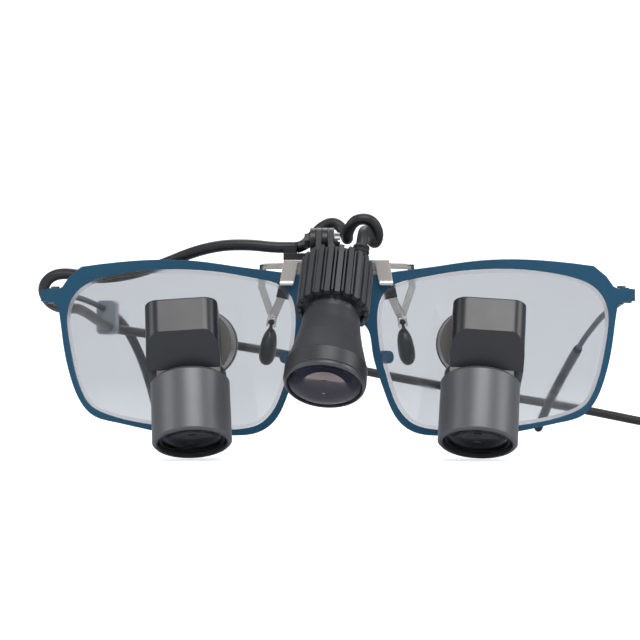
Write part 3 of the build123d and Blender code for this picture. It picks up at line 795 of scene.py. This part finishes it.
def hard_finish(name, base, worn, roughness, marks, wear=0.6, dust=0.08, patches=0.1,
                bump=0.05, bump_depth=0.00004, radius=EDGE_R, **sockets):
    """marks is (kind, inputs): the group that draws the surface's own texture."""
    material, tree, shader, place = start_finish(name)
    kind, settings = marks
    texture = use_group(tree, kind, {"Vector": place, **settings})
    toned = shaded(tree, base, texture["Shade"])
    rub = use_group(tree, rubbed, {"Color": toned, "Worn Color": worn, "Amount": wear,
                                   "Radius": radius, "Vector": place})
    used = use_group(tree, handled, {"Vector": place, "Color": rub["Color"],
                                     "Roughness": roughness, "Patches": patches, "Dust": dust})
    relief = add(tree, "Bump", {"Strength": bump, "Distance": bump_depth,
                                "Height": texture["Height"], "Normal": rub["Normal"]})
    tree.links.new(used["Color"], shader.inputs["Base Color"])
    tree.links.new(used["Roughness"], shader.inputs["Roughness"])
    tree.links.new(relief.outputs[0], shader.inputs["Normal"])
    set_sockets(shader, **sockets)
    return material


def dress(material, *names):
    for name in names:
        piece = nodes.get(name) or bpy.data.objects[name]
        piece.data.materials.clear()
        piece.data.materials.append(material)


def both(*names):
    return [f"{side}_{name}" for side in ("left", "right") for name in names]


# %% [markdown]
# ## The spectacle front
# The front is pressed from sheet and lacquered teal blue with a faint lengthways brush under
# the colour. Its cut edges are paler, where the lacquer is thin. The arms have a darker blue.

# %% Blue front and arms
blue = hard_finish(
    "blue_lacquer", colour(30, 82, 112), colour(104, 146, 170), 0.42,
    (brushed, {"Turn": (0.0, 0.0, 0.0), "Stretch": (260.0, 5200.0, 5200.0)}),
    wear=0.45, dust=0.05, bump=0.12, radius=0.0003, Metallic=0.3)
dress(blue, "front_frame", *both("hinge_leaf"))
arm_blue = hard_finish(
    "arm_lacquer", colour(24, 44, 66), colour(90, 115, 140), 0.38,
    (brushed, {"Turn": (0.0, 0.0, 0.0), "Stretch": (5200.0, 260.0, 5200.0)}),
    wear=0.4, dust=0.04, bump=0.1, Metallic=0.3)
dress(arm_blue, *both("temple_arm"))
print("blue finishes on", len(blue.node_tree.nodes), "nodes")

# %% [markdown]
# ## Anodised aluminium
# The telescopes and the lamp are turned or milled aluminium. The housings are dyed black and
# brushed on their faces, the barrels are a satin grey that keeps its turning marks, and the
# lamp is between the two. Black dye makes a surface that shines like glass over black, so it is
# not metallic; the grey still shows metal through its thin dye, so it is partly metallic. The
# back shells and the eyepieces behind them share a paler, warmer grey.

# %% Telescope finishes
BARREL_AXIS = Vector((0.073238, -0.421483, -0.903874))
BARREL_MIDDLE = Vector((-0.030036, -0.072913, 0.010364))
BLAST = (blasted, {"Roughness": 0.4})


def rings_round(origin, axis, per_metre=9000.0):
    return (turning, {"Origin": tuple(origin), "Axis": tuple(axis), "Rings per Metre": per_metre})


HOUSING_BRUSH = (math.radians(-25.0), 0.0, 0.0)
housing_black = hard_finish(
    "housing_black", colour(30, 31, 35), colour(96, 98, 102), 0.34,
    (brushed, {"Turn": HOUSING_BRUSH, "Stretch": (6000.0, 6000.0, 260.0)}),
    wear=0.3, dust=0.05, bump=0.22, bump_depth=0.00003, Specular_IOR_Level=0.6)
dress(housing_black, *both("prism_housing"))

for side, origin, axis in (("left", BARREL_MIDDLE, BARREL_AXIS),
                           ("right", mirrored(BARREL_MIDDLE),
                            Vector((-BARREL_AXIS.x, BARREL_AXIS.y, BARREL_AXIS.z)))):
    barrel_grey = hard_finish(
        f"barrel_grey_{side}", colour(98, 99, 102), colour(175, 175, 178), 0.42,
        rings_round(origin, axis), wear=0.5, dust=0.05, bump=0.1, Metallic=0.45,
        Specular_IOR_Level=0.5)
    dress(barrel_grey, f"{side}_objective_barrel")
    cell_black = hard_finish(
        f"cell_black_{side}", colour(20, 20, 22), colour(90, 90, 92), 0.4,
        rings_round(origin, axis, 5200.0), wear=0.35, dust=0.03, bump=0.35)
    dress(cell_black, f"{side}_objective_cell")
eyepiece_grey = hard_finish(
    "eyepiece_grey", colour(118, 115, 112), colour(180, 177, 173), 0.4,
    rings_round((0.0, 0.0, 0.0258), (0.0, 1.0, 0.0), 7000.0), wear=0.4, Metallic=0.4)
dress(eyepiece_grey, *both("eyepiece_tube", "housing_back"))
print("telescope finishes")

# %% Lamp finishes
LAMP_AXIS = Vector((-0.079646, -0.557525, -0.826331))
LAMP_MIDDLE = at(-2.0, -28.8, 18.7)

sink_grey = hard_finish(
    "sink_grey", colour(62, 64, 68), colour(128, 130, 134), 0.42, BLAST,
    wear=0.3, dust=0.08, bump=0.12, Metallic=0.15, Specular_IOR_Level=0.6)
dress(sink_grey, "heat_sink")
lamp_grey = hard_finish(
    "lamp_grey", colour(70, 71, 75), colour(134, 135, 139), 0.38,
    rings_round(LAMP_MIDDLE, LAMP_AXIS, 2600.0), wear=0.12, dust=0.0, bump=0.05,
    Metallic=0.5, Specular_IOR_Level=0.6)
dress(lamp_grey, "lamp_cone", "lamp_band", "lamp_collar")
bezel_black = hard_finish(
    "bezel_black", colour(62, 63, 66), colour(150, 150, 152), 0.3,
    rings_round(LAMP_MIDDLE, LAMP_AXIS, 6000.0), wear=0.7, bump=0.08, Specular_IOR_Level=0.8)
dress(bezel_black, "lamp_bezel")
bracket_black = hard_finish(
    "bracket_black", colour(26, 27, 30), colour(110, 110, 112), 0.4, BLAST,
    wear=0.4, dust=0.06, bump=0.12, Specular_IOR_Level=0.6)
dress(bracket_black, "lamp_bracket", "hinge_cap", "nose_arm_blocks", "pivot_nut")
print("lamp finishes")

# %% [markdown]
# ## Steel
# The saddle over the bridge and the arms of the nose pads are spring steel, bright and brushed.
# Steel is fully metallic: all its colour is in its reflection. The screws are darker.

# %% Steel finishes
bright_steel = hard_finish(
    "bright_steel", colour(226, 220, 214), colour(245, 243, 240), 0.28,
    (brushed, {"Turn": (0.0, 0.0, 0.0), "Stretch": (5000.0, 5000.0, 300.0)}),
    wear=0.3, dust=0.03, bump=0.1, Metallic=1.0)
dress(bright_steel, "bridge_saddle", *both("nose_arm"))
screw_steel = hard_finish(
    "screw_steel", colour(128, 126, 124), colour(205, 203, 200), 0.3,
    BLAST, wear=0.6, dust=0.04, bump=0.06, Metallic=0.9)
dress(screw_steel, "housing_screws", "nose_arm_screws", "pivot_screw",
      *both("hinge_screw"))
plug_plate = hard_finish(
    "plug_plate", colour(205, 203, 198), colour(235, 233, 230), 0.2,
    rings_round(plug_start, plug_axis, 6000.0), wear=0.3, bump=0.04, Metallic=1.0)
dress(plug_plate, "plug_sleeve")
print("steel finishes")

# %% [markdown]
# ## Rubber, silicone and moulded plastic
# These are soft to the eye: a dark base, a broad highlight and the pebble of the mould. Silicone
# also lets a little light in, which a touch of subsurface scattering gives.

# %% Soft finishes
def soft_finish(name, base, roughness, pebbles=3500.0, bump=0.15, dust=0.1, depth=0.00005,
                **sockets):
    material, tree, shader, place = start_finish(name)
    texture = use_group(tree, moulded, {"Vector": place, "Pebbles per Metre": pebbles})
    used = use_group(tree, handled, {"Vector": place, "Color": shaded(tree, base, texture["Shade"]),
                                     "Roughness": roughness, "Patches": 0.16, "Dust": dust})
    relief = add(tree, "Bump", {"Strength": bump, "Distance": depth,
                                "Height": texture["Height"]})
    tree.links.new(used["Color"], shader.inputs["Base Color"])
    tree.links.new(used["Roughness"], shader.inputs["Roughness"])
    tree.links.new(relief.outputs[0], shader.inputs["Normal"])
    set_sockets(shader, **sockets)
    return material


jacket = soft_finish("cable_jacket", colour(30, 31, 34), 0.42, dust=0.12)
dress(jacket, "lamp_cable", "temple_cable", "free_cable")
boot_rubber = soft_finish("boot_rubber", colour(24, 25, 27), 0.5)
dress(boot_rubber, "lamp_boot", "plug_moulding")
tip_rubber = soft_finish("tip_rubber", colour(22, 30, 42), 0.4, pebbles=5000.0)
dress(tip_rubber, "left_tip_sleeve", "right_tip_sleeve")
silicone = soft_finish("pad_silicone", colour(19, 22, 27), 0.42, pebbles=6000.0, bump=0.05,
                       dust=0.05, Subsurface_Weight=0.08, Subsurface_Scale=0.002)
dress(silicone, "left_silicone_pad", "right_silicone_pad", "left_pad_neck", "right_pad_neck")
clip_plastic = soft_finish("clip_plastic", colour(120, 126, 134), 0.4, pebbles=4000.0)
dress(clip_plastic, "temple_cable_clip")
print("soft finishes")

# %% [markdown]
# The tie is woven tape. Two waves across each other draw its threads: where one is high the
# other is low, as in a plain weave, and noise keeps the threads from being too regular.

# %% Woven tape
WAVE_SCALE = 120.0
tape, tape_tree, tape_shader, tape_place = start_finish("woven_tape")
weft = add(tape_tree, "TexWave", {"Vector": tape_place, "Scale": WAVE_SCALE, "Distortion": 0.4,
                                  "Detail": 1.0}, bands_direction="Y")
warp = add(tape_tree, "TexWave", {"Vector": tape_place, "Scale": WAVE_SCALE, "Distortion": 0.4,
                                  "Detail": 1.0}, bands_direction="X")
weave = math_node(tape_tree, "MAXIMUM", weft.outputs["Fac"],
                  math_node(tape_tree, "MULTIPLY", warp.outputs["Fac"], 0.8))
tape_used = use_group(tape_tree, handled, {
    "Vector": tape_place, "Roughness": 0.85, "Dust": 0.2,
    "Color": mix_colour(tape_tree, weave, colour(18, 19, 21), colour(46, 47, 51))})
tape_relief = add(tape_tree, "Bump", {"Strength": 0.5, "Distance": 0.0001, "Height": weave})
tape_tree.links.new(tape_used["Color"], tape_shader.inputs["Base Color"])
tape_tree.links.new(tape_used["Roughness"], tape_shader.inputs["Roughness"])
tape_tree.links.new(tape_relief.outputs[0], tape_shader.inputs["Normal"])
set_sockets(tape_shader, Sheen_Weight=0.3, Sheen_Roughness=0.5)
dress(tape, "tie_strap")
print("woven tape on the tie")

# %% [markdown]
# ## Glass
# The carrier lenses are clear resin with a slight cool grey, and the ground step round each is
# frosted. Shadow rays pass straight through all glass, so what is behind it gets direct light.
# The step lies a fixed depth behind the sheet's curved face, so its mask is worked
# out from depth: the face's curve is subtracted from y, and a soft step picks out the ledge.
# Tiny differences in roughness are the finger marks that every lens has.

# %% Carrier lenses
WRAP_R = 0.4
PLATEAU = 0.00025
LEDGE = 0.0007
RAMP_IN = (PLATEAU + 0.00012, PLATEAU + 0.0003)
RAMP_OUT = (LEDGE + 0.0006, LEDGE + 0.0003)


def smudges(tree, place, low, high, scale=90.0):
    """Faint finger marks: roughness between low and high."""
    marks = add(tree, "TexNoise", {"Vector": place, "Scale": scale, "Detail": 6.0,
                                   "Distortion": 1.2})
    share = smooth_mask(tree, marks.outputs["Fac"], 0.45, 0.75)
    return math_node(tree, "ADD", low, math_node(tree, "MULTIPLY", share, high - low))


def light_through(tree, shader, tint):
    """Let the lamps shine straight through the glass onto what is behind it."""
    clear = add(tree, "BsdfTransparent", {"Color": tint})
    blend = add(tree, "MixShader", {"Fac": add(tree, "LightPath").outputs["Is Shadow Ray"]})
    tree.links.new(shader.outputs[0], blend.inputs[1])
    tree.links.new(clear.outputs[0], blend.inputs[2])
    tree.links.new(blend.outputs[0], tree.nodes["Material Output"].inputs["Surface"])


resin, tree, shader, place = start_finish("carrier_resin")
axes = add(tree, "SeparateXYZ", {0: place})
off_middle = math_node(tree, "SUBTRACT", axes.outputs["X"], MIRROR_X)
curve = math_node(tree, "DIVIDE", math_node(tree, "MULTIPLY", off_middle, off_middle), 2 * WRAP_R)
depth = math_node(tree, "SUBTRACT", axes.outputs["Y"], DRAWING_Y * MM)
depth = math_node(tree, "SUBTRACT", depth, curve)
ledge = math_node(tree, "MULTIPLY",
                  smooth_mask(tree, depth, *RAMP_IN), smooth_mask(tree, depth, *RAMP_OUT))
clear = smudges(tree, place, 0.02, 0.07)
rough = math_node(tree, "ADD", clear, math_node(tree, "MULTIPLY", ledge, 0.3), clamp=True)
tree.links.new(rough, shader.inputs["Roughness"])
tint = mix_colour(tree, ledge, colour(238, 240, 243), colour(224, 217, 221))
tree.links.new(tint, shader.inputs["Base Color"])
set_sockets(shader, Transmission_Weight=1.0, IOR=1.5)
light_through(tree, shader, colour(232, 234, 238))
dress(resin, *both("carrier_lens"))
print("carrier lenses")

# %% [markdown]
# The objectives, the eyepieces' lenses and the lamp's lens are glass with a purple-blue coating
# that cuts reflections. The coating is a tint on the glass's own reflection.

# %% Coated glass
def coated_glass(name, tint, body=(246, 248, 250), low=0.01, high=0.05):
    material, tree, shader, place = start_finish(name)
    haze = smudges(tree, place, low, high, scale=220.0)
    tree.links.new(haze, shader.inputs["Roughness"])
    cloud = add(tree, "TexNoise", {"Vector": place, "Scale": 160.0, "Detail": 3.0})
    hazed = mix_colour(tree, cloud.outputs["Fac"], colour(*body),
                       colour(*(round(0.95 * v) for v in body)))
    tree.links.new(hazed, shader.inputs["Base Color"])
    set_sockets(shader, Transmission_Weight=1.0, IOR=1.52, Specular_Tint=colour(*tint))
    light_through(tree, shader, colour(*body))
    return material


objective_glass = coated_glass("objective_glass", (150, 170, 235), low=0.0, high=0.02)
dress(objective_glass, *both("objective_lens", "ocular_lens"))
lamp_glass = coated_glass("lamp_glass", (190, 190, 245), (200, 184, 180), 0.0, 0.004)
dress(lamp_glass, "lamp_lens")
prism_glass = coated_glass("prism_glass", (220, 225, 235))
dress(prism_glass, *both("deflection_prism"))
print("coated glass")

# %% [markdown]
# Behind the lamp's lens sit the circuit board and the emitter with its pale yellow phosphor. The
# lamp is switched off, yet the emitter is given a weak emission: a painted glow, not real light.

# %% Board and emitter
board = hard_finish("led_board_mask", colour(26, 24, 30), colour(90, 84, 70), 0.4, BLAST,
                    wear=0.2, bump=0.0)
dress(board, "led_board")
# The emitter's emission is a painted glow; the lamp itself is off.
painted_glow_emitter = soft_finish("emitter_painted_glow", colour(240, 232, 206), 0.5, bump=0.0, dust=0.0,
                       Emission_Color=colour(255, 246, 224), Emission_Strength=0.8)
dress(painted_glow_emitter, "led_emitter")
print("light source")

# %% [markdown]

# %% [markdown]
# ## Stage and light
# The table and the wall behind it are one white sheet that curves up at the back, so there is no
# line where they meet. It is a light grey that glows for the camera alone: it looks white, yet
# the dark pieces do not reflect a white room. The sky beyond the sheet does the same. A large
# soft light above and in front draws the bright upper faces and the long highlights on the
# barrels, two weaker ones open the sides, and one above and behind lights the table.

# %% White sweep
SWEEP_HALF = 3.0
SWEEP_BACK = 1.6
SWEEP_R = 0.8
SWEEP_FRONT = -2.0
SWEEP_TOP = 3.0
SWEEP_ROWS = 16
PAPER_LIFT = 0.7


def sweep_sheet():
    profile = [(SWEEP_FRONT, 0.0), (-0.6, 0.0), (0.0, 0.0), (SWEEP_BACK - SWEEP_R, 0.0)]
    for k in range(1, SWEEP_ROWS + 1):
        angle = math.pi / 2 * k / SWEEP_ROWS
        profile.append((SWEEP_BACK - SWEEP_R + SWEEP_R * math.sin(angle),
                        SWEEP_R * (1 - math.cos(angle))))
    profile.append((SWEEP_BACK, SWEEP_TOP))
    verts = [(x, y, z) for y, z in profile for x in (-SWEEP_HALF, SWEEP_HALF)]
    faces = [(2 * i, 2 * i + 1, 2 * i + 3, 2 * i + 2) for i in range(len(profile) - 1)]
    return put_in_scene("sweep", verts, faces)


sweep = sweep_sheet()
paper, tree, shader, place = start_finish("white_paper")
fibre = add(tree, "TexNoise", {"Vector": place, "Scale": 60.0, "Detail": 4.0})
tone = mix_colour(tree, fibre.outputs["Fac"], colour(212, 215, 219), colour(217, 220, 223))
tree.links.new(tone, shader.inputs["Base Color"])
set_sockets(shader, Roughness=0.9, Specular_IOR_Level=0.1)
seen = add(tree, "LightPath").outputs["Is Camera Ray"]
shader.inputs["Emission Color"].default_value = (1.0, 1.0, 1.0, 1.0)
tree.links.new(math_node(tree, "MULTIPLY", seen, PAPER_LIFT), shader.inputs["Emission Strength"])
sweep.data.materials.append(paper)


# %% Soft lights
def soft_light(name, place, target, size, power, height=None):
    lamp = bpy.data.lights.new(name, "AREA")
    lamp.energy = power
    lamp.shape = "RECTANGLE"
    lamp.size = size
    lamp.size_y = height or size
    lamp_object = bpy.data.objects.new(name, lamp)
    lamp_object.location = place
    aim = Vector(target) - Vector(place)
    lamp_object.rotation_euler = aim.to_track_quat("-Z", "Y").to_euler()
    bpy.context.scene.collection.objects.link(lamp_object)


soft_light("front_top", (0.12, -0.75, 0.85), (0.0, -0.05, 0.03), 0.7, 6.6, height=0.45)
soft_light("left_side", (-0.9, -0.35, 0.45), (0.0, 0.0, 0.03), 0.5, 2.2)
soft_light("right_side", (0.95, -0.25, 0.5), (0.0, 0.0, 0.03), 0.5, 3.0)
soft_light("back_top", (0.0, 0.9, 1.1), (0.0, 0.1, 0.0), 0.9, 8.0)

SKY = 0.35
SEEN_SKY = 1.2
world = bpy.data.worlds.new("studio")
world.use_nodes = True
air = world.node_tree
air.nodes["Background"].inputs["Color"].default_value = (1.0, 1.0, 1.0, 1.0)
straight = add(air, "LightPath").outputs["Is Camera Ray"]
extra = math_node(air, "MULTIPLY", straight, SEEN_SKY - SKY)
air.links.new(math_node(air, "ADD", SKY, extra), air.nodes["Background"].inputs["Strength"])
bpy.context.scene.world = world
bpy.context.scene.view_settings.view_transform = "Standard"
print("stage and four lights")
